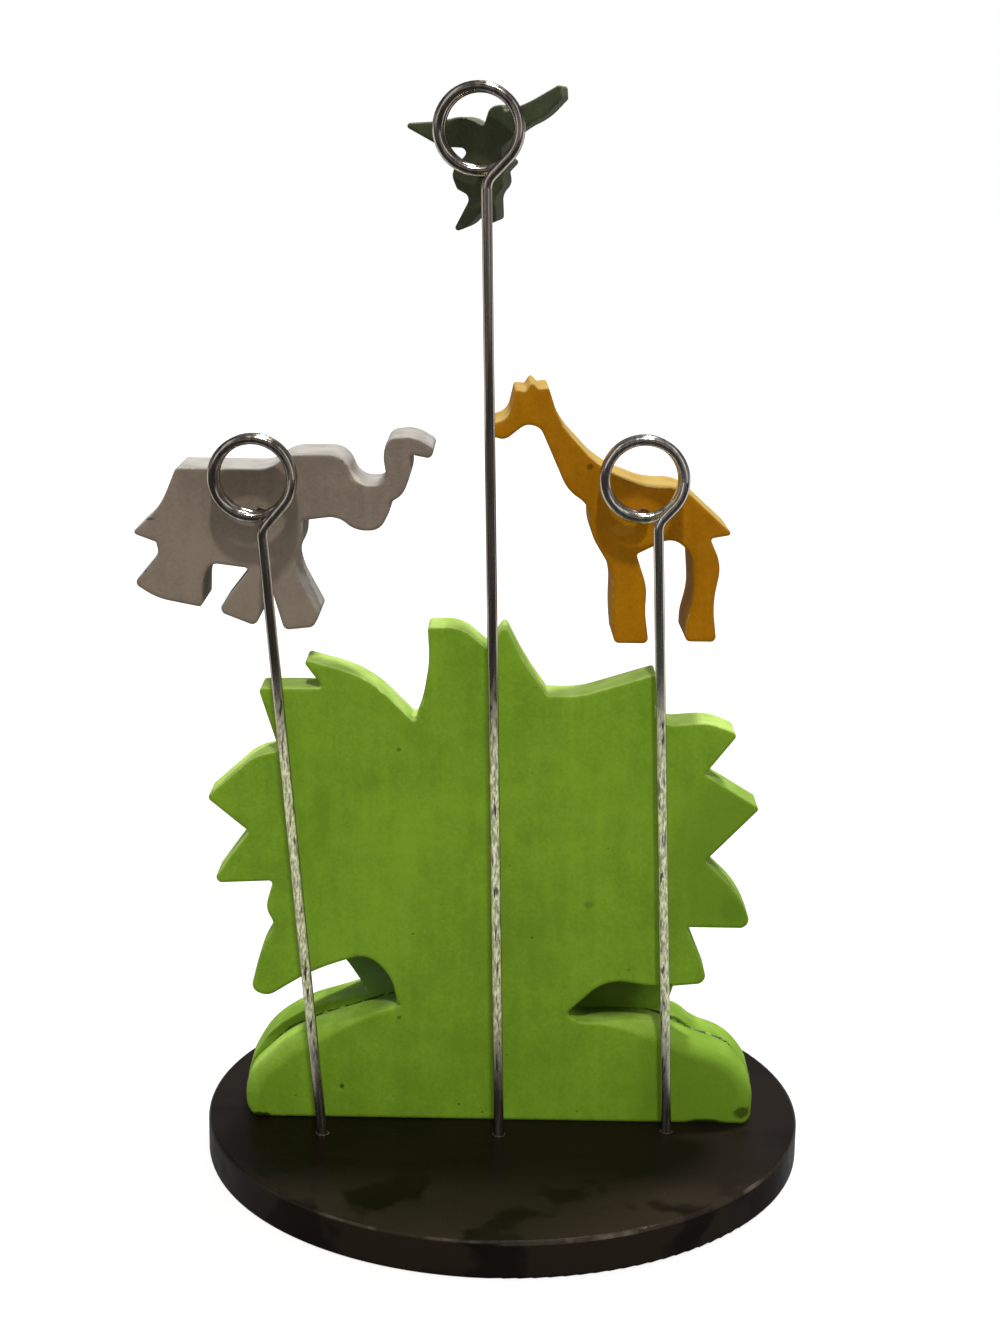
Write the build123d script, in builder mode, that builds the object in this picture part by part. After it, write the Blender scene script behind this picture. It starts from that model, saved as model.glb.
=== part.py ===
from build123d import *
import os
from math import cos, pi, radians, sin, sqrt, tan

# Photo tree stand, seen from its back: a round base carries a bush of two boards and three
# wire stems, and each stem ends in a double loop that grips a photo and holds a cut-out animal.
# Millimetres. +Z is up, +X is right and +Y leads from the back to the front.
# The origin is the centre of the base's underside.

# Base disc
base_diameter = 150.0
base_thickness = 9.4
base_edge_radius = 0.9

# Bush boards: the seam between them lies a little behind the middle of the base
board_thickness = 10.8
board_edge_radius = 0.5
bush_seam_y = -0.4

# Lobes at the back board's foot: their outer edges are rounded, and the rounding fades out at the slots.
# Its arc stands proud of the two faces, so that it meets each of them at a slight crease.
lobe_edge_radius = 4.6
lobe_arc_proud = 0.1
lobe_cut_margin = 0.6

# Animals
animal_thickness = 18.0
animal_edge_radius = 0.5
animal_gap = 1.0
pin_depth = 8.0
pin_clearance = 0.05

# Wire stems
wire_diameter = 2.5
stem_bend_radius = 4.0
hole_floor = 2.0
swivel_clearance = 0.05

# Double loops: the second loop is drawn in and lies in front of the first
loop_radius = 9.35
loop_draw_in = 0.2
draw_in_from = 180.0
draw_in_to = 360.0
loop_gap = 0.6
lead_in_angle = 45.0
tail_angle = 252.0
tail_run = 3.2
tail_bend_radius = 2.6
coil_spans = 8

# Heights of the loops' centres
low_loop_above_bush = 36.4
tall_loop_above_low = 79.2

# Each stem's foot: its place across the base and its distance behind the bush
elephant_foot_x = -44.7
elephant_setback = 9.2
parrot_foot_x = -0.8
parrot_setback = 8.3
giraffe_foot_x = 41.1
giraffe_setback = 4.9

# How far each loop's centre lies to the left of its stem's line
elephant_loop_offset = 1.2
parrot_loop_offset = 1.8
giraffe_loop_offset = 2.9

# How far each stem leans to the left and is turned about its own axis, in degrees
elephant_lean = 5.1
elephant_turn = 0.0
parrot_lean = 1.5
parrot_turn = -5.8
giraffe_lean = 2.5
giraffe_turn = 1.6

# Wood screws that hold the bush from below
screw_diameter = 3.5
screw_length = 26.0
screw_head_diameter = 7.0
screw_tip_length = 4.0
screw_spacing = 84.0
screw_clearance = 0.1
screw_sink_angle = 90.0

# Outlines are corner points, each with its own radius where the corner is tight.
# Bush points are measured from the middle of the bush's foot. Outlines run clockwise, seen from the back.
back_leaves = [
    (-28.2, 38.2),
    (-34.4, 44.0),
    (-47.8, 39.4),
    (-59.0, 32.2),
    (-63.2, 34.0),
    (-60.6, 44.6),
    (-56.8, 51.0),
    (-59.4, 55.4),
    (-57.4, 62.6, 0.8),
    (-72.8, 61.8, 1.4),
    (-63.2, 75.2, 0.6),
    (-73.6, 83.8, 1.2),
    (-61.6, 94.6),
    (-55.6, 96.0, 0.8),
    (-60.6, 111.6, 1.0),
    (-44.8, 111.8, 0.6),
    (-50.4, 119.2, 0.8),
    (-34.0, 114.8),
    (-22.6, 103.4, 0.8),
    (-21.0, 107.8),
    (-19.2, 119.0),
    (-19.8, 127.2, 1.0),
    (-11.8, 127.6),
    (-5.2, 122.0, 0.8),
    (-1.2, 128.0, 0.8),
    (3.8, 118.4),
    (9.2, 110.8, 1.0),
    (17.2, 110.8),
    (35.4, 116.6, 0.8),
    (35.4, 106.2, 0.8),
    (38.6, 103.8),
    (48.6, 104.8),
    (55.8, 101.8, 1.2),
    (48.0, 91.6, 0.6),
    (61.8, 83.2, 1.0),
    (48.8, 69.4, 0.6),
    (57.2, 61.4),
    (61.2, 52.2, 2.2),
    (44.8, 52.2, 0.6),
    (50.8, 37.6, 2.2),
    (37.4, 36.2),
    (25.4, 38.4),
]
back_right_lobe = [
    (15.4, 28.8, 1.0),
    (19.0, 26.6),
    (34.0, 26.8),
    (39.6, 25.4),
    (46.6, 21.4),
    (57.0, 18.2),
    (63.2, 9.8),
    (62.8, 0.0, 2.0),
]
back_left_lobe = [
    (-65.0, 0.0, 4.0),
    (-65.0, 9.8),
    (-54.8, 19.6),
    (-46.0, 23.8),
    (-26.4, 30.2, 1.0),
]
bush_front_outline = [
    (-65.4, 0.0, 4.0),
    (-65.4, 8.6),
    (-59.8, 18.6),
    (-51.0, 24.6),
    (-34.6, 29.8, 0.8),
    (-40.0, 38.0),
    (-43.8, 42.0),
    (-47.2, 48.6, 1.4),
    (-38.8, 51.4, 0.8),
    (-42.2, 64.8, 1.4),
    (-29.8, 61.6, 0.8),
    (-25.8, 77.8, 1.4),
    (-13.8, 68.6, 0.8),
    (-1.8, 85.0, 1.4),
    (9.2, 68.2, 0.8),
    (22.0, 76.0, 1.4),
    (25.8, 60.6, 0.8),
    (37.2, 63.2, 1.4),
    (34.8, 50.2, 0.8),
    (41.8, 44.4, 1.4),
    (44.2, 36.8),
    (41.4, 27.6),
    (35.8, 25.4, 0.8),
    (44.2, 24.4),
    (48.4, 20.6),
    (57.2, 17.6),
    (63.6, 9.4),
    (63.0, 0.0, 2.0),
]

# Animal points are measured from the centre of the animal's first loop.
elephant_outline = [
    (42.6, 2.8, 1.5),
    (41.4, 0.4, 1.3),
    (36.6, 1.8, 0.6),
    (36.6, -2.6),
    (34.2, -7.6),
    (30.8, -9.4, 0.6),
    (30.8, -11.2),
    (28.0, -15.8),
    (22.2, -15.4),
    (18.2, -11.6),
    (10.0, -12.0, 0.8),
    (9.2, -17.8),
    (7.0, -21.0),
    (7.6, -25.4),
    (11.8, -35.2, 1.6),
    (10.0, -38.0, 2.0),
    (3.0, -38.2, 1.6),
    (0.6, -26.4, 0.8),
    (-3.6, -36.8, 1.6),
    (-12.6, -32.4, 1.6),
    (-3.6, -22.6, 0.8),
    (-13.0, -20.6),
    (-15.2, -24.2),
    (-16.0, -31.2, 0.9),
    (-26.6, -28.2),
    (-31.8, -24.2, 1.4),
    (-25.0, -17.2),
    (-25.4, -14.6, 0.6),
    (-31.0, -12.0, 0.8),
    (-23.4, -6.2),
    (-18.8, 2.8, 1.2),
    (3.0, 0.8),
    (8.0, 4.0),
    (21.0, 3.0),
    (23.4, -4.6),
    (30.8, -5.0),
    (30.2, 2.0),
    (31.6, 6.0),
    (37.8, 6.2),
]
giraffe_outline = [
    (-35.8, 13.2, 1.0),
    (-31.2, 14.6),
    (-29.4, 21.2, 0.7),
    (-27.0, 20.8, 0.6),
    (-25.4, 23.0, 0.7),
    (-24.0, 21.2, 0.6),
    (-21.6, 21.4, 0.7),
    (-19.2, 12.8),
    (-9.8, 1.8),
    (1.4, -3.0),
    (9.6, -3.2),
    (21.8, -15.2, 0.7),
    (16.2, -16.0, 0.6),
    (18.8, -22.6),
    (16.6, -31.8),
    (17.4, -41.4, 1.3),
    (9.8, -41.0, 1.3),
    (10.0, -36.6),
    (12.0, -30.0),
    (11.6, -19.2),
    (7.0, -15.4),
    (-1.6, -19.2, 0.8),
    (0.8, -27.4),
    (0.2, -33.2),
    (1.0, -41.2, 1.3),
    (-7.4, -40.8, 1.3),
    (-7.8, -33.8),
    (-7.2, -23.6),
    (-12.6, -13.8),
    (-12.6, -7.0),
    (-17.8, -3.2),
    (-23.8, 12.0),
    (-27.2, 13.0),
    (-32.4, 9.2),
    (-35.6, 10.4, 0.9),
]
parrot_outline = [
    (-19.2, 1.4, 0.7),
    (-9.8, 1.8),
    (-4.2, 3.0),
    (0.2, 0.6, 0.6),
    (1.6, 4.8),
    (4.6, 5.4, 0.8),
    (5.0, 3.8, 0.6),
    (10.4, 5.6),
    (18.0, 9.8, 0.7),
    (18.2, 6.4, 0.7),
    (14.0, 2.2),
    (8.8, -0.2),
    (4.2, -4.4, 0.6),
    (4.2, -5.8),
    (6.6, -7.8, 0.7),
    (4.4, -10.0, 0.6),
    (4.8, -12.8),
    (2.6, -15.2),
    (2.8, -21.2, 1.2),
    (0.6, -21.0, 1.0),
    (0.6, -16.6, 0.6),
    (-3.6, -22.0),
    (-7.6, -23.4, 0.8),
    (-3.0, -15.2),
    (-6.2, -13.4, 0.8),
    (-7.6, -9.8),
    (-3.8, -5.4),
    (-4.6, -4.2),
    (-9.6, -4.0),
]

# Sizes worked out from the values above
bush_back_outline = back_left_lobe + back_leaves + back_right_lobe
bush_back_y = bush_seam_y - board_thickness
bush_height = max(point[1] for point in bush_back_outline)
low_loop_height = bush_height + low_loop_above_bush
tall_loop_height = low_loop_height + tall_loop_above_low
wire_radius = wire_diameter / 2
loop_pitch = wire_diameter + loop_gap
stem_hole_depth = base_thickness - hole_floor
coil_start = -lead_in_angle
coil_end = 360 + tail_angle
lobe_arc_depth = lobe_edge_radius - lobe_arc_proud
lobe_reach = lobe_arc_depth - sqrt(lobe_edge_radius**2 - lobe_arc_depth**2)
screw_y = bush_seam_y - board_thickness / 2
screw_points = [(side * screw_spacing / 2, screw_y) for side in (-1, 1)]

# Share of a run that one corner's arc may use, so that two neighbouring arcs never meet
corner_share = 0.45


def largest_arc(before, corner, after):
    """Radius of the largest arc that the two runs at a corner leave room for."""
    run_in = corner - before
    run_out = after - corner
    turn = radians(run_in.get_angle(run_out))
    return corner_share * min(run_in.length, run_out.length) / tan(turn / 2)


def rounded_outline(points):
    """Closed outline: a point without a radius takes the largest arc that its two runs leave room for."""
    corners = [Vector(point[0], point[1]) for point in points]
    radii = []
    for index, point in enumerate(points):
        largest = largest_arc(corners[index - 1], corners[index], corners[(index + 1) % len(corners)])
        radii.append(min(point[2], largest) if len(point) > 2 else largest)
    FilletPolyline(corners, radius=radii, close=True)


def lobe_rounding(edge_points, side):
    """What the rounding takes off the lobe on one side, -1 or 1, from its foot up to the slot."""
    corners = [back_face.from_local_coords((point[0], point[1], 0)) for point in edge_points]
    # The cut leaves the face at the slot and passes below the foot
    corners[-1] += back_face.z_dir * lobe_reach
    radii = [largest_arc(*corners[index - 1:index + 2]) for index in range(1, len(corners) - 1)]
    corners[0] -= back_face.y_dir * lobe_edge_radius
    with BuildLine() as edge:
        FilletPolyline(corners, radius=radii)
    with BuildPart() as rounding:
        with BuildSketch(Plane(edge.wire() @ 0, x_dir=back_face.z_dir, z_dir=edge.wire() % 0)):
            with Locations((-lobe_arc_depth, -side * lobe_arc_depth)):
                Rectangle(
                    lobe_arc_depth + lobe_cut_margin,
                    lobe_arc_depth + lobe_cut_margin,
                    align=(Align.MIN, Align.MAX if side < 0 else Align.MIN),
                )
                Circle(lobe_edge_radius, mode=Mode.SUBTRACT)
        sweep(path=edge.wire())
    return rounding.part


def stem_frame(foot_x, setback, lean, turn):
    """Plane at a stem's foot: local Z runs up the stem and local Y leads from its loops to its animal."""
    return Plane((foot_x, bush_back_y - setback, base_thickness)).rotated((0, -lean, turn))


def coil_point(angle):
    """Centre line of the double loop, measured from the centre of the first loop."""
    share = min(max((angle - draw_in_from) / (draw_in_to - draw_in_from), 0), 1)
    radius = loop_radius - loop_draw_in * share * share * (3 - 2 * share)
    depth = loop_pitch * (angle - coil_start) / 360
    return Vector(radius * cos(radians(angle)), depth, radius * sin(radians(angle)))


def coil_way(angle):
    """Direction of the double loop's centre line."""
    step = 0.01
    return (coil_point(angle + step) - coil_point(angle - step)).normalized()


def biarc(start, start_way, end, end_way):
    """Two arcs that leave the start and reach the end along the given directions."""
    span = end - start
    ways = start_way + end_way
    bend = 2 * (1 - start_way.dot(end_way))
    reach = (sqrt(span.dot(ways) ** 2 + bend * span.dot(span)) - span.dot(ways)) / bend
    middle = (start + end + (start_way - end_way) * reach) / 2
    first = TangentArc(start, middle, tangent=start_way)
    TangentArc(first @ 1, end, tangent=first % 1)


# Places on a clip, measured from the centre of its first loop
lead_in_way = Vector(sin(radians(lead_in_angle)), 0, cos(radians(lead_in_angle)))
tail_corner = coil_point(coil_end) + coil_way(coil_end) * tail_run
animal_face = tail_corner.Y + tail_bend_radius + animal_gap
pin_end = Vector(tail_corner.X, animal_face + pin_depth, tail_corner.Z)


def stem_route(frame, loop_height, loop_offset):
    """Centre line of one stem: foot, straight wire, double loop and the pin in the animal's back."""
    centre = Vector(-loop_offset, 0, loop_height)
    foot = Vector(loop_offset, 0, -loop_height - stem_hole_depth)
    lead_in = (loop_radius * cos(radians(lead_in_angle)) - loop_offset) / sin(radians(lead_in_angle))
    stem_corner = coil_point(coil_start) - lead_in_way * lead_in

    def place(point):
        return frame.from_local_coords(centre + point)

    def aim(way):
        return place(way) - place(Vector(0, 0, 0))

    with BuildLine() as route:
        FilletPolyline(place(foot), place(stem_corner), place(coil_point(coil_start)), radius=stem_bend_radius)
        way = lead_in_way
        for index in range(coil_spans):
            start = coil_start + (coil_end - coil_start) * index / coil_spans
            end = coil_start + (coil_end - coil_start) * (index + 1) / coil_spans
            biarc(place(coil_point(start)), aim(way), place(coil_point(end)), aim(coil_way(end)))
            way = coil_way(end)
        FilletPolyline(place(coil_point(coil_end)), place(tail_corner), place(pin_end), radius=tail_bend_radius)
    return route


def least_gap(route):
    """Least gap between stretches of one wire that lie further apart along it than a third of a loop."""
    wire = route.wire()
    sample_step = wire_radius / 2
    count = round(wire.length / sample_step)
    points = [wire @ (index / count) for index in range(count + 1)]
    apart = round(2 * loop_radius / sample_step)
    pairs = ((a, b) for index, a in enumerate(points) for b in points[index + apart:])
    return min((a - b).length for a, b in pairs) - wire_diameter


def animal_plane(frame, loop_height, loop_offset):
    """Plane of an animal's front face, with the outline's origin at the loop's centre."""
    origin = frame.from_local_coords((-loop_offset, animal_face + animal_thickness, loop_height))
    return Plane(origin, x_dir=frame.x_dir, z_dir=-frame.y_dir)


def broad_faces(board):
    """The two flat faces of a board."""
    return board.faces().filter_by(GeomType.PLANE).sort_by(SortBy.AREA)[-2:]


bush_plane = Plane((0, bush_seam_y, base_thickness), x_dir=(1, 0, 0), z_dir=(0, -1, 0))
back_face = bush_plane.offset(board_thickness)
elephant_frame = stem_frame(elephant_foot_x, elephant_setback, elephant_lean, elephant_turn)
parrot_frame = stem_frame(parrot_foot_x, parrot_setback, parrot_lean, parrot_turn)
giraffe_frame = stem_frame(giraffe_foot_x, giraffe_setback, giraffe_lean, giraffe_turn)
clips = [
    ("elephant", elephant_frame, low_loop_height, elephant_loop_offset, elephant_outline),
    ("parrot", parrot_frame, tall_loop_height, parrot_loop_offset, parrot_outline),
    ("giraffe", giraffe_frame, low_loop_height, giraffe_loop_offset, giraffe_outline),
]

os.makedirs("parts", exist_ok=True)

# Base disc with a leaning blind hole for each stem and a countersunk hole for each screw
with BuildPart() as base_disc:
    Cylinder(base_diameter / 2, base_thickness, align=(Align.CENTER, Align.CENTER, Align.MIN))
    fillet(base_disc.edges().filter_by(GeomType.CIRCLE), base_edge_radius)
    for name, frame, loop_height, loop_offset, outline in clips:
        with Locations(frame.offset(-stem_hole_depth)):
            Cylinder(
                wire_radius + swivel_clearance,
                stem_hole_depth + wire_diameter,
                align=(Align.CENTER, Align.CENTER, Align.MIN),
                mode=Mode.SUBTRACT,
            )
    with Locations(Plane.XY.rotated((180, 0, 0))):
        with Locations([(x, -y) for x, y in screw_points]):
            CounterSinkHole(
                screw_diameter / 2 + screw_clearance,
                screw_head_diameter / 2 + screw_clearance,
                counter_sink_angle=screw_sink_angle,
            )
base_disc.part.label = "base_disc"
export_step(base_disc.part, "parts/base_disc.step")

# Back board of the bush, with rounded lobes and a pilot hole for each screw in its foot
left_rounding = lobe_rounding(back_left_lobe, -1)
right_rounding = lobe_rounding(back_right_lobe[:0:-1], 1)
with BuildPart() as bush_back_board:
    with BuildSketch(bush_plane):
        with BuildLine():
            rounded_outline(bush_back_outline)
        make_face()
    extrude(amount=board_thickness)
    fillet(broad_faces(bush_back_board).edges(), board_edge_radius)
    add([left_rounding, right_rounding], mode=Mode.SUBTRACT)
    with Locations([(x, y, base_thickness) for x, y in screw_points]):
        Cylinder(
            screw_diameter / 2 + screw_clearance,
            screw_length - base_thickness + screw_clearance,
            align=(Align.CENTER, Align.CENTER, Align.MIN),
            mode=Mode.SUBTRACT,
        )
bush_back_board.part.label = "bush_back_board"
export_step(bush_back_board.part, "parts/bush_back_board.step")

# Front board of the bush, glued to the back board
with BuildPart() as bush_front_board:
    with BuildSketch(bush_plane.offset(-board_thickness)):
        with BuildLine():
            rounded_outline(bush_front_outline)
        make_face()
    extrude(amount=board_thickness)
    fillet(broad_faces(bush_front_board).edges(), board_edge_radius)
bush_front_board.part.label = "bush_front_board"
export_step(bush_front_board.part, "parts/bush_front_board.step")

# Countersunk wood screws, driven up through the base into the back board
head_height = (screw_head_diameter - screw_diameter) / 2 / tan(radians(screw_sink_angle / 2))
with BuildPart() as bush_screws:
    for x, y in screw_points:
        with BuildSketch(Plane((x, y, screw_clearance), x_dir=(1, 0, 0), z_dir=(0, -1, 0))):
            with BuildLine():
                Polyline(
                    (0, 0),
                    (screw_head_diameter / 2, 0),
                    (screw_diameter / 2, head_height),
                    (screw_diameter / 2, screw_length - screw_tip_length),
                    (0, screw_length - screw_clearance),
                    close=True,
                )
            make_face()
        revolve(axis=Axis((x, y, 0), (0, 0, 1)))
bush_screws.part.label = "bush_screws"
export_step(bush_screws.part, "parts/bush_screws.step")

# Each clip: a wire stem swept in one piece, and the animal on its pin
for name, frame, loop_height, loop_offset, outline in clips:
    route = stem_route(frame, loop_height, loop_offset)
    with BuildPart() as stem:
        with BuildSketch(Plane(route.wire() @ 0, z_dir=route.wire() % 0)):
            Circle(wire_radius)
        sweep(path=route.wire())
    stem.part.label = f"{name}_stem"
    export_step(stem.part, f"parts/{name}_stem.step")
    tube_volume = route.wire().length * pi * wire_radius**2
    print(f"{name} stem: least gap to itself {least_gap(route):.2f} mm")
    print(f"{name} stem: volume {stem.part.volume:.1f} of {tube_volume:.1f} mm3")

    with BuildPart() as animal:
        with BuildSketch(animal_plane(frame, loop_height, loop_offset)):
            with BuildLine():
                rounded_outline(outline)
            make_face()
        extrude(amount=animal_thickness)
        fillet(broad_faces(animal).edges(), animal_edge_radius)
        pin_mouth = Vector(pin_end.X - loop_offset, animal_face, pin_end.Z + loop_height)
        with Locations(Plane(frame.from_local_coords(pin_mouth), z_dir=-frame.y_dir)):
            Hole(wire_radius + pin_clearance, pin_depth)
    animal.part.label = name
    export_step(animal.part, f"parts/{name}.step")
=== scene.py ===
import math
import random

import bmesh
import bpy
from mathutils import Matrix, Vector, noise


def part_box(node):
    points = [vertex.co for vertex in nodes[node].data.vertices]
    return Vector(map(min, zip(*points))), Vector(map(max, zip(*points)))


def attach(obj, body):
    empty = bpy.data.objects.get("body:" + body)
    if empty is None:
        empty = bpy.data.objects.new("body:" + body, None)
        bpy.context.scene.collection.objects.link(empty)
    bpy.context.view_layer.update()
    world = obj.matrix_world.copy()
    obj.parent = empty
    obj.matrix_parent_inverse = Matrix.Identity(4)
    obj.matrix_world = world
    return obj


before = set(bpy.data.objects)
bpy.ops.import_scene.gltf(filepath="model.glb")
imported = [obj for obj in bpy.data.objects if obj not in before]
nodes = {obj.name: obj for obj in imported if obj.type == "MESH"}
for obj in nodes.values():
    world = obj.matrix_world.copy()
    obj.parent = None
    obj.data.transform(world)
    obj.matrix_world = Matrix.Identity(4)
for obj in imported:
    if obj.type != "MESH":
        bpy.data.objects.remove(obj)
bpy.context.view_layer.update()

scene = bpy.context.scene
scene.view_settings.view_transform = "Standard"
MM = 0.001


def linear(red, green, blue):
    """Turns display values from 0 to 255 into a shader colour."""
    parts = [value / 255 for value in (red, green, blue)]
    return tuple(p / 12.92 if p < 0.04045 else ((p + 0.055) / 1.055) ** 2.4 for p in parts) + (1.0,)


def shade(colour, factor):
    """The same colour, made darker or lighter."""
    return tuple(part * factor for part in colour[:3]) + (1.0,)


def turned(degrees, axis):
    return Matrix.Rotation(math.radians(degrees), 4, axis)


# Camera at the photograph's place and angle, in metres and degrees
PHOTO_HEIGHT = 1333
FOCAL_PIXELS = 2250
SENSOR_SIZE = 36
CAMERA_PLACE = (0, -0.536688, 0.254513)
CAMERA_TURN = 0.248
CAMERA_DOWN = 13.613
CAMERA_ROLL = 0.848
camera_data = bpy.data.cameras.new("photo_camera")
camera_data.sensor_width = SENSOR_SIZE
camera_data.lens = SENSOR_SIZE * FOCAL_PIXELS / PHOTO_HEIGHT
camera_data.clip_start = 0.02
camera_data.clip_end = 50
camera = bpy.data.objects.new("photo_camera", camera_data)
scene.collection.objects.link(camera)
camera.matrix_world = (
    Matrix.Translation(CAMERA_PLACE)
    @ turned(CAMERA_TURN, "Z")
    @ turned(90 - CAMERA_DOWN, "X")
    @ turned(CAMERA_ROLL, "Z")
)
scene.camera = camera


class Net:
    """A node tree, with short calls for the nodes that the finishes and the stage share."""

    def __init__(self, owner, output_kind="ShaderNodeOutputMaterial"):
        owner.use_nodes = True
        self.tree = owner.node_tree
        self.tree.nodes.clear()
        self.output = self.new(output_kind)
        self.coordinates = self.new("ShaderNodeTexCoord").outputs

    def new(self, kind, **settings):
        node = self.tree.nodes.new(kind)
        for key, value in settings.items():
            setattr(node, key, value)
        return node

    def put(self, socket, value):
        """Links an output to the socket, or sets a plain value on it."""
        if isinstance(value, bpy.types.NodeSocket):
            self.tree.links.new(value, socket)
        else:
            socket.default_value = value

    def filled(self, kind, **sockets):
        """A new node, with what its inputs hold given by their names."""
        node = self.new(kind)
        for name, value in sockets.items():
            self.put(node.inputs[name.replace("_", " ")], value)
        return node

    def split(self, vector):
        return self.filled("ShaderNodeSeparateXYZ", Vector=vector).outputs

    def math(self, operation, first, second=0.0):
        node = self.new("ShaderNodeMath", operation=operation)
        self.put(node.inputs[0], first)
        self.put(node.inputs[1], second)
        return node.outputs[0]

    def times(self, first, second):
        return self.math("MULTIPLY", first, second)

    def total(self, *weighted):
        """Adds outputs, each given with its weight."""
        result = 0.0
        for value, weight in weighted:
            result = self.math("ADD", self.times(value, weight), result)
        return result

    def span(self, value, start, end, low=0.0, high=1.0, kind="SMOOTHSTEP"):
        """A step from low, at start, to high, at end."""
        node = self.new("ShaderNodeMapRange", interpolation_type=kind)
        for socket, item in zip(node.inputs, (value, start, end, low, high)):
            self.put(socket, item)
        return node.outputs[0]

    def ramp(self, value, stops):
        """Grey levels that follow the value, each stop given as its place and its level."""
        node = self.new("ShaderNodeValToRGB")
        self.put(node.inputs[0], value)
        elements = node.color_ramp.elements
        for stop in stops[1:-1]:
            elements.new(stop[0])
        for element, (place, level) in zip(elements, stops):
            element.position = place
            element.color = (level, level, level, 1)
        return node.outputs[0]

    def blend(self, amount, first, second, kind="MIX"):
        """Mixes two colours. Inputs 6 and 7 and output 2 are the node's colour sockets."""
        node = self.new("ShaderNodeMix", data_type="RGBA", blend_type=kind)
        self.put(node.inputs[0], amount)
        self.put(node.inputs[6], first)
        self.put(node.inputs[7], second)
        return node.outputs[2]

    def mix_shaders(self, amount, first, second):
        node = self.new("ShaderNodeMixShader")
        self.put(node.inputs[0], amount)
        self.put(node.inputs[1], first.outputs[0])
        self.put(node.inputs[2], second.outputs[0])
        return node

    def by_ray(self, lighting, mirrored, seen):
        """Gives the rays that light the object, those mirrored in it and the camera's their own shaders."""
        path = self.new("ShaderNodeLightPath").outputs
        to_mirror = self.math("MAXIMUM", path["Is Glossy Ray"], path["Is Transmission Ray"])
        unseen = self.mix_shaders(to_mirror, lighting, mirrored)
        every_ray = self.mix_shaders(path["Is Camera Ray"], unseen, seen)
        self.put(self.output.inputs["Surface"], every_ray.outputs[0])


class Finish(Net):
    """A material with one shader, and patterns that are placed in the frame's own coordinates."""

    def __init__(self, name, **sockets):
        self.material = bpy.data.materials.new(name)
        super().__init__(self.material)
        self.shader = self.filled("ShaderNodeBsdfPrincipled", **sockets)
        self.put(self.output.inputs["Surface"], self.shader.outputs[0])
        self.place = self.coordinates["Object"]
        self.at = self.split(self.place)
        self.facing = self.split(self.coordinates["Normal"])

    def stretched(self, stretch, shift=(0, 0, 0)):
        return self.filled("ShaderNodeMapping", Vector=self.place, Location=shift, Scale=stretch).outputs[0]

    def noise(self, scale, detail, stretch=(1, 1, 1), shift=(0, 0, 0)):
        place = self.stretched(stretch, shift)
        return self.filled("ShaderNodeTexNoise", Vector=place, Scale=scale, Detail=detail).outputs[0]

    def specks(self, scale, size, share, shift=(0, 0, 0)):
        """Small round dots, one in each cell of the given share of the cells."""
        place = self.stretched((1, 1, 1), shift)
        cells = self.filled("ShaderNodeTexVoronoi", Vector=place, Scale=scale).outputs
        chosen = self.math("LESS_THAN", self.split(cells["Color"])[0], share)
        return self.times(chosen, self.span(cells["Distance"], size, size * 0.5))

    def near(self, point, radius, stretch):
        """A patch round a point, given in millimetres, with a soft and ragged edge."""
        node = self.new("ShaderNodeVectorMath", operation="DISTANCE")
        self.put(node.inputs[0], self.stretched(stretch))
        self.put(node.inputs[1], [p * s * MM for p, s in zip(point, stretch)])
        ragged = self.math("SUBTRACT", self.noise(900, 3), 0.5)
        ragged = self.times(ragged, min(radius, 2.0) * MM)
        distance = self.math("ADD", node.outputs["Value"], ragged)
        return self.span(distance, radius * 1.3 * MM, radius * 0.7 * MM)

    def colour(self, value):
        self.put(self.shader.inputs["Base Color"], value)

    def rough(self, value):
        self.put(self.shader.inputs["Roughness"], value)

    def bump(self, height, depth, strength, edge_radius=None):
        """Bumps of a depth in millimetres, with edges shaded as if rounded to a radius, where it is given."""
        node = self.filled("ShaderNodeBump", Height=height, Distance=depth * MM, Strength=strength)
        if edge_radius is not None:
            soft = self.new("ShaderNodeBevel", samples=6)
            self.put(soft.inputs["Radius"], edge_radius * MM)
            self.put(node.inputs["Normal"], soft.outputs[0])
        self.put(self.shader.inputs["Normal"], node.outputs[0])


# Heights between which the dust with its painted highlight, and the wear, of the upper edges set in, above
# the bush's lobes
UPPER_EDGE_START = 45 * MM
UPPER_EDGE_FULL = 70 * MM


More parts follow.
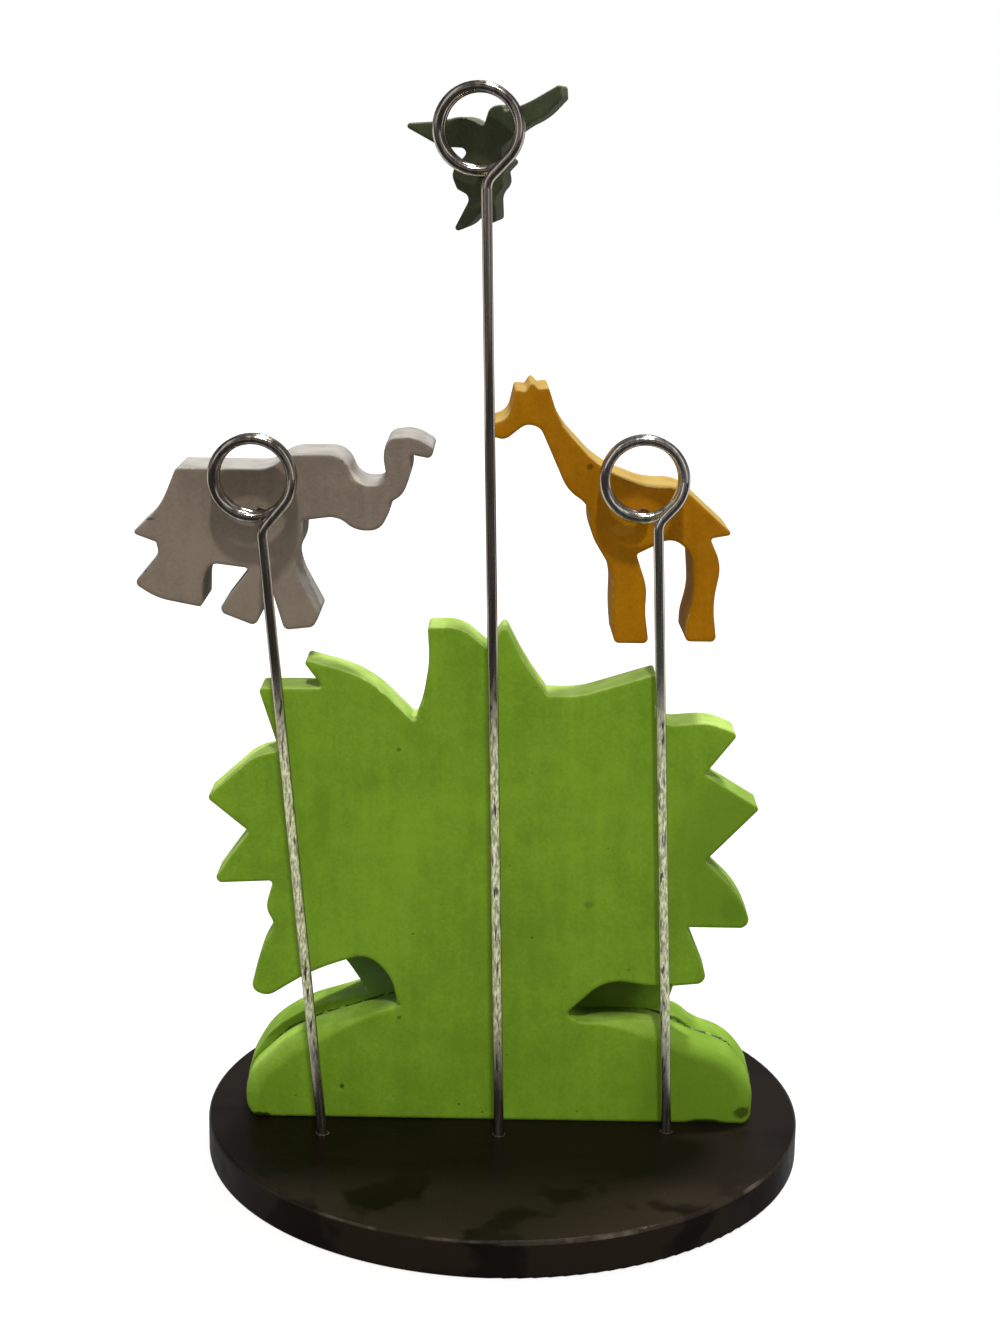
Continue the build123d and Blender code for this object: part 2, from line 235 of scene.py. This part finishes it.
def paint(name, colour, pale_colour, spread=0.16, shift=(0, 0, 0), marks=()):
    """Brushed paint on a sawn board. The pale colour is where the paint is worn or soaked in, and it also
    paints dust and a painted highlight on the upward faces of the upper edges.
    """
    net = Finish(name, Specular_IOR_Level=0.1)
    broad = net.noise(24, 3, shift=shift)
    cloud = net.noise(150, 4, shift=shift)
    grain = net.noise(1300, 3)
    brushed = net.noise(60, 3, stretch=(6, 1, 0.7), shift=shift)
    across = net.math("ABSOLUTE", net.facing[1])
    sawn = net.span(across, 0.7, 0.3)
    rounding = net.times(net.span(across, 0.1, 0.4), net.span(across, 0.985, 0.85))
    upper = net.span(net.at[2], UPPER_EDGE_START, UPPER_EDGE_FULL, 0.12, 1.0)
    tone = net.total((broad, 0.36), (cloud, 0.22), (grain, 0.24), (brushed, 0.18))
    base = net.blend(net.span(tone, 0.37, 0.63), shade(colour, 1 - spread), shade(colour, 1 + spread))
    soaked = net.times(sawn, net.span(cloud, 0.35, 0.7, 0.0, 0.22))
    base = net.blend(soaked, base, pale_colour)
    # Dust on upward faces, which is also a painted highlight: the tops of the upper edges are made paler as
    # if lit from above
    dust_and_top_light = net.times(net.span(net.facing[2], 0.15, 0.7), net.span(cloud, 0.3, 0.65, 0.36, 0.62))
    base = net.blend(net.times(dust_and_top_light, upper), base, pale_colour)
    worn = net.times(rounding, net.span(net.noise(420, 4, shift=shift), 0.52, 0.66, 0.0, 0.5))
    base = net.blend(net.times(worn, upper), base, pale_colour)
    dots = net.specks(170, 0.07, 0.25, shift)
    base = net.blend(net.times(dots, 0.55), base, shade(colour, 0.25))
    pits = dots
    for point, radius, stretch, mark, amount in marks:
        patch = net.times(net.near(point, radius, stretch), amount)
        base = net.blend(patch, base, mark)
        pits = net.math("MAXIMUM", pits, patch)
    net.colour(base)
    net.rough(net.total((cloud, 0.3), (sawn, 0.35), (1.0, 0.27)))
    saw_lines = net.times(sawn, net.noise(800, 3, stretch=(1, 0.06, 1)))
    pores = net.noise(850, 3)
    waves = net.noise(230, 2)
    height = net.total((pores, 0.55), (waves, 0.5), (saw_lines, 0.4), (brushed, 0.3), (pits, -0.8))
    net.bump(height, 0.16, 0.75, edge_radius=1.4)
    return net.material


# Where the lacquer's lighter patches of painted sheen set in and are full, on the way to the camera's side of
# the base
SHEEN_START = -34 * MM
SHEEN_FULL = -56 * MM


def lacquer():
    """Dark lacquer with lighter patches of painted sheen towards the camera's side, an upper edge worn paler
    that is also a painted highlight, and bare patches underneath.
    """
    net = Finish("dark_lacquer", Specular_IOR_Level=0.05)
    broad = net.noise(26, 3)
    streak = net.noise(30, 4, stretch=(1, 9, 9))
    fine = net.noise(900, 2)
    rim = net.span(net.math("ABSOLUTE", net.facing[2]), 0.8, 0.4)
    film = net.span(net.total((broad, 0.7), (streak, 0.3)), 0.4, 0.62)
    base = net.blend(film, linear(13, 8, 5), linear(21, 15, 10))
    rim_streaks = net.times(rim, net.span(streak, 0.3, 0.7, 0.3, 0.9))
    base = net.blend(rim_streaks, base, linear(21, 16, 14))
    # Painted sheen: lighter hazy patches towards the camera's side of the base
    clouds = net.span(net.noise(42, 3, shift=(0.2, 0, 0)), 0.46, 0.53)
    sheen_patches = net.times(net.span(net.at[1], SHEEN_START, SHEEN_FULL), clouds)
    base = net.blend(sheen_patches, base, linear(33, 27, 20))
    # The upper edge of the rim worn paler, which is also a painted highlight along it
    edge = net.times(net.span(net.facing[2], 0.15, 0.45), net.span(net.facing[2], 0.97, 0.8))
    rubbed_and_highlight = net.times(edge, net.span(net.noise(60, 4, shift=(0.5, 0, 0)), 0.5, 0.62, 0.1, 0.8))
    base = net.blend(rubbed_and_highlight, base, linear(74, 68, 58))
    dust = net.specks(260, 0.05, 0.2)
    base = net.blend(net.times(dust, 0.5), base, linear(84, 78, 66))
    under = net.span(net.facing[2], -0.6, -0.9)
    board = net.blend(net.span(net.noise(350, 4), 0.35, 0.65), linear(66, 50, 36), linear(92, 71, 52))
    patchy = net.times(under, net.span(net.noise(45, 3), 0.5, 0.62, 0.0, 0.7))
    net.colour(net.blend(patchy, base, board))
    net.rough(net.total((film, 0.15), (rim, 0.08), (under, 0.2), (fine, 0.1), (1.0, 0.24)))
    net.bump(net.total((fine, 0.25), (broad, 0.6), (dust, 0.5)), 0.1, 0.4)
    return net.material


# Heights where the flaking of the stems' plating, with its painted highlight, fades out, above and below
FLAKES_TOP = (134 * MM, 100 * MM)
FLAKES_FOOT = (18 * MM, 50 * MM)


def plated_wire(name, dull, clean):
    """Plating streaked along the wire from dull to clean, with pale flakes on the lower part of the stems, on
    their side towards the camera, which are also a painted highlight and a painted greenish reflection.
    """
    net = Finish(name, Specular_Tint=(0.4, 0.38, 0.35, 1))
    streak = net.noise(1100, 3, stretch=(1, 1, 0.03))
    flakes = net.noise(1500, 4, stretch=(1, 1, 0.16))
    speckle = net.noise(1900, 3, stretch=(1, 1, 0.35))
    # Flakes only on the side towards the camera, where their pale colour is also a painted highlight and a
    # painted greenish reflection
    front = net.span(net.facing[1], -0.3, -0.8)
    lower = net.times(net.span(net.at[2], *FLAKES_TOP), net.span(net.at[2], *FLAKES_FOOT, 0.1, 1.0))
    flakes_and_highlight = net.times(net.times(lower, front), net.span(flakes, 0.32, 0.5))
    film = net.span(streak, 0.38, 0.62)
    plating = net.blend(film, dull, clean)
    pale = net.blend(net.span(speckle, 0.35, 0.65), (0.34, 0.38, 0.18, 1), (0.9, 0.92, 0.64, 1))
    net.colour(net.blend(flakes_and_highlight, plating, pale))
    net.put(net.shader.inputs["Metallic"], net.span(flakes_and_highlight, 0.0, 1.0, 1.0, 0.25))
    net.rough(net.total((flakes_and_highlight, 0.34), (film, 0.06), (lower, 0.12), (1.0, 0.16)))
    net.bump(net.times(lower, net.total((flakes, 0.6), (flakes_and_highlight, 0.9), (streak, 0.25))), 0.05, 0.6)
    return net.material


# Where the arms of a screw's cross recess end and begin, from the middle of its head
ARM_LENGTH = (2.3 * MM, 2.0 * MM)
ARM_WIDTH = (0.55 * MM, 0.35 * MM)


def screw_steel():
    """Zinc-plated steel, with a cross recess in each head drawn by a bump and a near-black painted shade."""
    net = Finish("screw_steel", Metallic=1.0)
    corner, far_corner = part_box("bush_screws")
    head_radius = (far_corner.y - corner.y) / 2
    aside = net.math("SUBTRACT", net.math("ABSOLUTE", net.at[0]), far_corner.x - head_radius)
    aside = net.math("ABSOLUTE", aside)
    back = net.math("SUBTRACT", net.at[1], (corner.y + far_corner.y) / 2)
    back = net.math("ABSOLUTE", back)
    arms = []
    for along, over in ((aside, back), (back, aside)):
        arms.append(net.times(net.span(along, *ARM_LENGTH), net.span(over, *ARM_WIDTH)))
    # Painted shade, near black, in the arms of the cross recess
    recess = net.times(net.math("MAXIMUM", *arms), net.span(net.facing[2], -0.7, -0.9))
    cloud = net.noise(500, 3)
    base = net.blend(net.span(cloud, 0.35, 0.65), (0.45, 0.43, 0.37, 1), (0.66, 0.64, 0.58, 1))
    net.colour(net.blend(recess, base, (0.03, 0.028, 0.025, 1)))
    net.rough(net.total((cloud, 0.3), (recess, 0.3), (1.0, 0.2)))
    net.bump(net.total((cloud, 0.2), (recess, -1.5)), 0.3, 0.8)
    return net.material


def chipped_wood(name, colour):
    """Bare fibres where paint or lacquer has come off."""
    net = Finish(name)
    fibre = net.noise(1600, 4)
    net.colour(net.blend(net.span(fibre, 0.35, 0.65), shade(colour, 0.55), shade(colour, 1.3)))
    net.rough(net.total((fibre, 0.3), (1.0, 0.5)))
    net.bump(fibre, 0.1, 0.8)
    return net.material


# Marks on the paint, some of them painted shade, each with its place, radius, stretch, colour and strength,
# in millimetres.
# The faces named here are about where the camera sides of the boards lie along y.
GREEN = linear(110, 146, 36)
GREY = linear(121, 110, 98)
OCHRE = linear(155, 102, 0)
DARK = linear(64, 70, 50)
# Painted shade for the gaps where the bush stands on the base
GAP_SHADE = linear(22, 20, 12)
BUSH_FACE = -11.2
ELEPHANT_FACE = -11.1
GIRAFFE_FACE = -6.8
EVEN = (1, 1, 1)
bush_marks = [
    # Painted shade: two broad darker patches, on the right lobe and on the leaves above it
    ((54.0, BUSH_FACE, 17.0), 21.0, EVEN, shade(GREEN, 0.7), 0.7),
    ((62.0, BUSH_FACE, 80.0), 20.0, (1, 1, 0.8), shade(GREEN, 0.74), 0.7),
    ((-40.5, BUSH_FACE, 17.9), 0.6, EVEN, shade(GREEN, 0.2), 0.8),
    ((-26.2, BUSH_FACE, 36.5), 0.5, EVEN, shade(GREEN, 0.3), 0.7),
    # Painted shade of a dent in the right lobe's lower corner
    ((60.4, -10.6, 12.2), 1.8, (0.9, 0.4, 1.2), shade(GREEN, 0.22), 0.9),
    # Painted shade in the gaps under the lobes, where the bush stands on the base
    ((51.0, BUSH_FACE, 9.4), 5.0, (1, 1, 4), GAP_SHADE, 0.9),
    ((-61.0, BUSH_FACE, 9.4), 2.6, (1, 1, 2.4), GAP_SHADE, 0.9),
    ((-29.0, -4.0, 48.0), 10.0, (1, 2.0, 1), linear(98, 120, 86), 0.85),
    # Painted shade on the lobe top seen through the left slot, under the bush above it
    ((-35.0, 3.0, 43.0), 9.5, (0.7, 2.0, 1.2), linear(92, 120, 62), 0.8),
    # Painted shade inside the right slot
    ((25.0, -2.6, 43.0), 12.0, (1, 2.2, 1.2), shade(GREEN, 0.3), 0.75),
    ((56.0, BUSH_FACE, 66.2), 3.2, EVEN, shade(GREEN, 0.62), 0.5),
    ((-26.5, BUSH_FACE, 106.0), 0.5, EVEN, shade(GREEN, 0.3), 0.6),
    ((20.5, BUSH_FACE, 67.0), 0.8, (0.6, 1, 1), shade(GREEN, 0.5), 0.5),
]
elephant_marks = [
    ((-85.9, ELEPHANT_FACE, 161.8), 0.6, (0.45, 0.5, 1.8), linear(62, 55, 47), 0.7),
    ((-36.0, ELEPHANT_FACE, 173.4), 2.2, (1, 0.3, 1), linear(176, 168, 152), 0.6),
]
giraffe_marks = [
    ((18.3, GIRAFFE_FACE, 175.2), 0.8, (1, 0.3, 1), linear(92, 58, 6), 0.8),
    ((26.6, GIRAFFE_FACE, 160.4), 1.6, (0.6, 0.3, 1), linear(176, 128, 34), 0.5),
]

# A finish for each solid. The shifts keep the patterns of the paints from matching.
green_paint = paint("green_paint", GREEN, linear(172, 196, 110), marks=bush_marks)
grey_paint = paint("grey_paint", GREY, linear(162, 163, 161), shift=(0.3, 0, 0), marks=elephant_marks)
ochre_paint = paint("ochre_paint", OCHRE, linear(168, 154, 92), shift=(0.7, 0, 0), marks=giraffe_marks)
dark_paint = paint("dark_paint", DARK, linear(118, 122, 98), 0.22, shift=(1.1, 0, 0))
# A darker and a lighter copy of the same plating; the lighter one is for the giraffe's stem
darker_wire = plated_wire("plated_wire", (0.44, 0.385, 0.33, 1), (0.62, 0.555, 0.49, 1))
lighter_wire = plated_wire("lighter_wire", (0.6, 0.55, 0.5, 1), (0.84, 0.79, 0.73, 1))
finishes = {
    "base_disc": lacquer(),
    "bush_back_board": green_paint,
    "bush_front_board": green_paint,
    "bush_screws": screw_steel(),
    "elephant": grey_paint,
    "parrot": dark_paint,
    "giraffe": ochre_paint,
    "elephant_stem": darker_wire,
    "parrot_stem": darker_wire,
    "giraffe_stem": lighter_wire,
}
for name, node in nodes.items():
    node.data.materials.clear()
    node.data.materials.append(finishes[name])


def skin(mesh, rings):
    """Joins each ring of points to the next with faces."""
    for first, second in zip(rings, rings[1:]):
        for i in range(len(first)):
            j = (i + 1) % len(first)
            mesh.faces.new((first[i], second[i], second[j], first[j]))


def add_piece(name, mesh, body, material):
    data = bpy.data.meshes.new(name)
    bmesh.ops.recalc_face_normals(mesh, faces=mesh.faces)
    mesh.to_mesh(data)
    mesh.free()
    for face in data.polygons:
        face.use_smooth = True
    data.materials.append(material)
    piece = bpy.data.objects.new(name, data)
    scene.collection.objects.link(piece)
    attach(piece, body)


RIM_STEPS = 40
RIM_BURIED = -0.15


def chipped_rim(name, place, hole, reach, body, material, seed):
    """A low broken ring round a wire, on the surface whose frame is place, in millimetres."""
    widest = random.Random(seed).uniform(0, 6.28)
    mesh = bmesh.new()
    rings = []
    for step in range(RIM_STEPS):
        angle = 2 * math.pi * step / RIM_STEPS
        rag = noise.noise(Vector((2.2 * math.cos(angle), 2.2 * math.sin(angle), seed * 3.1)))
        bite = 0.5 + 0.5 * math.cos(angle - widest)
        width = max(0.12, reach * (0.45 + 0.75 * rag + 0.5 * bite))
        lift = 0.05 + 0.13 * bite * (0.6 + 0.4 * rag)
        profile = [
            (hole, RIM_BURIED),
            (hole, lift),
            (hole + width * 0.6, lift * 0.8),
            (hole + width, 0.01),
            (hole + width, RIM_BURIED),
        ]
        rings.append([
            mesh.verts.new(place @ Vector((r * math.cos(angle), r * math.sin(angle), z)) * MM)
            for r, z in profile
        ])
    skin(mesh, rings + rings[:1])
    add_piece(name, mesh, body, material)


SEAM_Y = -0.4
SEAM_STEP = 0.4
SEAM_SIDES = 10
TAPER_STEPS = 4


def seam_line(name, points, seed, material, body_size, lumps, sink):
    """A lumpy line along the seam between the boards, with its size, lumps and sinking in millimetres."""
    way = []
    for (x0, z0), (x1, z1) in zip(points, points[1:]):
        count = max(2, int(math.hypot(x1 - x0, z1 - z0) / SEAM_STEP))
        way += [(x0 + (x1 - x0) * k / count, z0 + (z1 - z0) * k / count) for k in range(count)]
    way.append(points[-1])
    mesh = bmesh.new()
    rings = []
    for index, (x, z) in enumerate(way):
        lump = noise.noise(Vector((x * 0.45, z * 0.45, seed)))
        small = noise.noise(Vector((x * 1.7, z * 1.7, seed + 5)))
        size = max(0.1, body_size + lumps * (lump + 0.4 * small))
        to_end = min(index, len(way) - 1 - index)
        taper = min(1.0, to_end / TAPER_STEPS + 0.05)
        side = 0.35 * noise.noise(Vector((x * 0.8, z * 0.8, seed + 9)))
        ring = []
        for step in range(SEAM_SIDES):
            angle = 2 * math.pi * step / SEAM_SIDES
            radius = size * taper * (1 + 0.25 * noise.noise(Vector((x * 2.5, angle, seed))))
            across = 1.1 * radius * math.cos(angle)
            up = 0.8 * radius * math.sin(angle)
            ring.append(mesh.verts.new(Vector((x, SEAM_Y + side + across, z - sink + up)) * MM))
        rings.append(ring)
    skin(mesh, rings)
    mesh.faces.new(rings[0])
    mesh.faces.new(rings[-1])
    add_piece(name, mesh, "stand", material)


# Chipped lacquer where the stems go into the base, each foot given by its x and y in millimetres
FOOT_HOLE = 1.34
FOOT_CHIP = 0.4
base_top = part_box("base_disc")[1].z / MM
bare_wood = chipped_wood("bare_wood", linear(62, 57, 48))
feet = [("left", -44.7, -20.4), ("middle", -0.8, -19.5), ("right", 41.1, -16.1)]
for index, (side, x, y) in enumerate(feet):
    foot = Matrix.Translation((x, y, base_top))
    name = f"foot_chip_{side}"
    chipped_rim(name, foot, FOOT_HOLE, FOOT_CHIP, "stand", bare_wood, seed=index + 2)

# Chipped paint where each wire's end goes into its animal, which is turned and leans by these degrees
PIN_HOLE = 1.36
PIN_CHIP = 0.7
animals = [
    ("elephant", 0.0, 5.1, "grey_paint", GREY),
    ("parrot", -5.8, 1.5, "dark_paint", DARK),
    ("giraffe", 1.6, 2.5, "ochre_paint", OCHRE),
]
for index, (animal, turn, lean, slot, colour) in enumerate(animals):
    swing = turned(-lean, "Y") @ turned(turn, "Z")
    inward = (swing @ Vector((0, 1, 0))).normalized()
    face = min(inward.dot(v.co) for v in nodes[animal].data.vertices)
    pin = [v.co for v in nodes[f"{animal}_stem"].data.vertices if inward.dot(v.co) > face + 2 * MM]
    middle = sum(pin, Vector()) / len(pin)
    middle -= inward * (inward.dot(middle) - face)
    place = Matrix.Translation(middle / MM) @ swing @ turned(90, "X")
    name = f"{animal}_pin_rim"
    rim_paint = chipped_wood(name, shade(colour, 0.8))
    chipped_rim(name, place, PIN_HOLE, PIN_CHIP, f"{animal}_clip", rim_paint, seed=index + 11)

# Squeezed glue and cracked paint on the lobes, along the seam through these x and z in millimetres
left_seam = [
    (-27.6, 39.4), (-36.2, 36.5), (-46.0, 33.2), (-50.4, 31.2), (-54.8, 29.0), (-59.9, 24.1), (-63.6, 20.6),
]
right_seam = [
    (35.1, 36.0), (39.6, 34.8), (43.2, 32.8), (46.6, 30.8), (51.8, 29.2), (57.0, 27.3), (60.4, 23.0),
]
glue_paint = paint("glue_paint", linear(104, 138, 38), linear(150, 176, 96), 0.3, shift=(2, 0, 0))
crack = chipped_wood("seam_crack", linear(48, 62, 20))
for side, seam, seed in (("left", left_seam, 3.0), ("right", right_seam, 8.0)):
    seam_line(f"seam_bead_{side}", seam, seed, glue_paint, body_size=0.3, lumps=0.7, sink=0.25)
    seam_line(f"seam_crack_{side}", seam[:-1], seed + 20, crack, body_size=0.55, lumps=0.3, sink=0.28)

FLOOR_REACH = 6.0
FLOOR_LEVEL = -0.00002


def add_floor():
    """A floor that shows white with the object's shadow, and is mirrored as dark in front and pale behind."""
    mesh = bpy.data.meshes.new("floor")
    corners = [(-1, -1), (1, -1), (1, 1), (-1, 1)]
    points = [(x * FLOOR_REACH, y * FLOOR_REACH, FLOOR_LEVEL) for x, y in corners]
    mesh.from_pydata(points, [], [(0, 1, 2, 3)])
    floor = bpy.data.objects.new("floor", mesh)
    scene.collection.objects.link(floor)
    material = bpy.data.materials.new("floor")
    mesh.materials.append(material)
    net = Net(material)
    depth = net.split(net.coordinates["Object"])[1]
    lighting = net.filled("ShaderNodeBsdfDiffuse", Color=(0.24, 0.235, 0.22, 1))
    mirrored = net.filled("ShaderNodeEmission", Strength=net.span(depth, -0.14, 0.08, 0.04, 0.9))
    shadowed = net.filled("ShaderNodeBsdfDiffuse", Color=(0.22, 0.22, 0.22, 1))
    white = net.filled("ShaderNodeEmission", Strength=0.79)
    seen = net.new("ShaderNodeAddShader")
    net.put(seen.inputs[0], shadowed.outputs[0])
    net.put(seen.inputs[1], white.outputs[0])
    net.by_ray(lighting, mirrored, seen)


def add_surround():
    """A surround that shows white, lights the object softly, and is mirrored as pale bands and strips."""
    world = bpy.data.worlds.new("studio")
    scene.world = world
    net = Net(world, "ShaderNodeOutputWorld")
    x, y, z = net.split(net.coordinates["Generated"])
    aside = net.math("ABSOLUTE", x)
    overhead = net.span(z, 0.0, 1.0, 0.36, 0.62, kind="LINEAR")
    sides = net.span(aside, 0.45, 1.0, kind="LINEAR")
    level = net.math("ADD", overhead, sides)
    lighting = net.filled("ShaderNodeBackground", Color=(1.0, 0.98, 0.95, 1), Strength=level)
    rise = net.ramp(z, [(0.0, 1.0), (0.1, 0.9), (0.24, 0.5), (0.42, 0.2), (0.6, 0.3), (1.0, 0.42)])
    behind = net.span(y, 0.45, 0.95, 0.24, 0.9)
    bands = net.blend(1.0, rise, behind, kind="MULTIPLY")
    strips = net.ramp(aside, [(0.0, 0.0), (0.5, 0.0), (0.62, 1.0), (0.8, 0.0), (1.0, 0.0)])
    ahead = net.span(y, -0.1, -0.4, kind="LINEAR")
    mirrored = net.filled("ShaderNodeBackground", Color=net.blend(ahead, bands, strips, kind="ADD"))
    seen = net.filled("ShaderNodeBackground", Color=(1, 1, 1, 1))
    net.by_ray(lighting, mirrored, seen)


def add_lamp(name, energy, spread, side, height):
    """Side is the bearing from the camera's side, turning to the right, and height is above the horizon."""
    data = bpy.data.lights.new(name, "SUN")
    data.energy = energy
    data.angle = math.radians(spread)
    data.color = (1.0, 0.985, 0.95)
    lamp = bpy.data.objects.new(name, data)
    scene.collection.objects.link(lamp)
    bearing = math.radians(side)
    rise = math.radians(height)
    level = math.cos(rise)
    towards = Vector((math.sin(bearing) * level, -math.cos(bearing) * level, math.sin(rise)))
    lamp.rotation_mode = "QUATERNION"
    lamp.rotation_quaternion = towards.to_track_quat("Z", "Y")


# Stage: a pale floor, a plain white surround, and two soft lamps high on the camera's side and behind
add_floor()
add_surround()
add_lamp("front_lamp", energy=1.84, spread=4, side=4, height=57)
add_lamp("back_lamp", energy=3.5, spread=8, side=155, height=68)
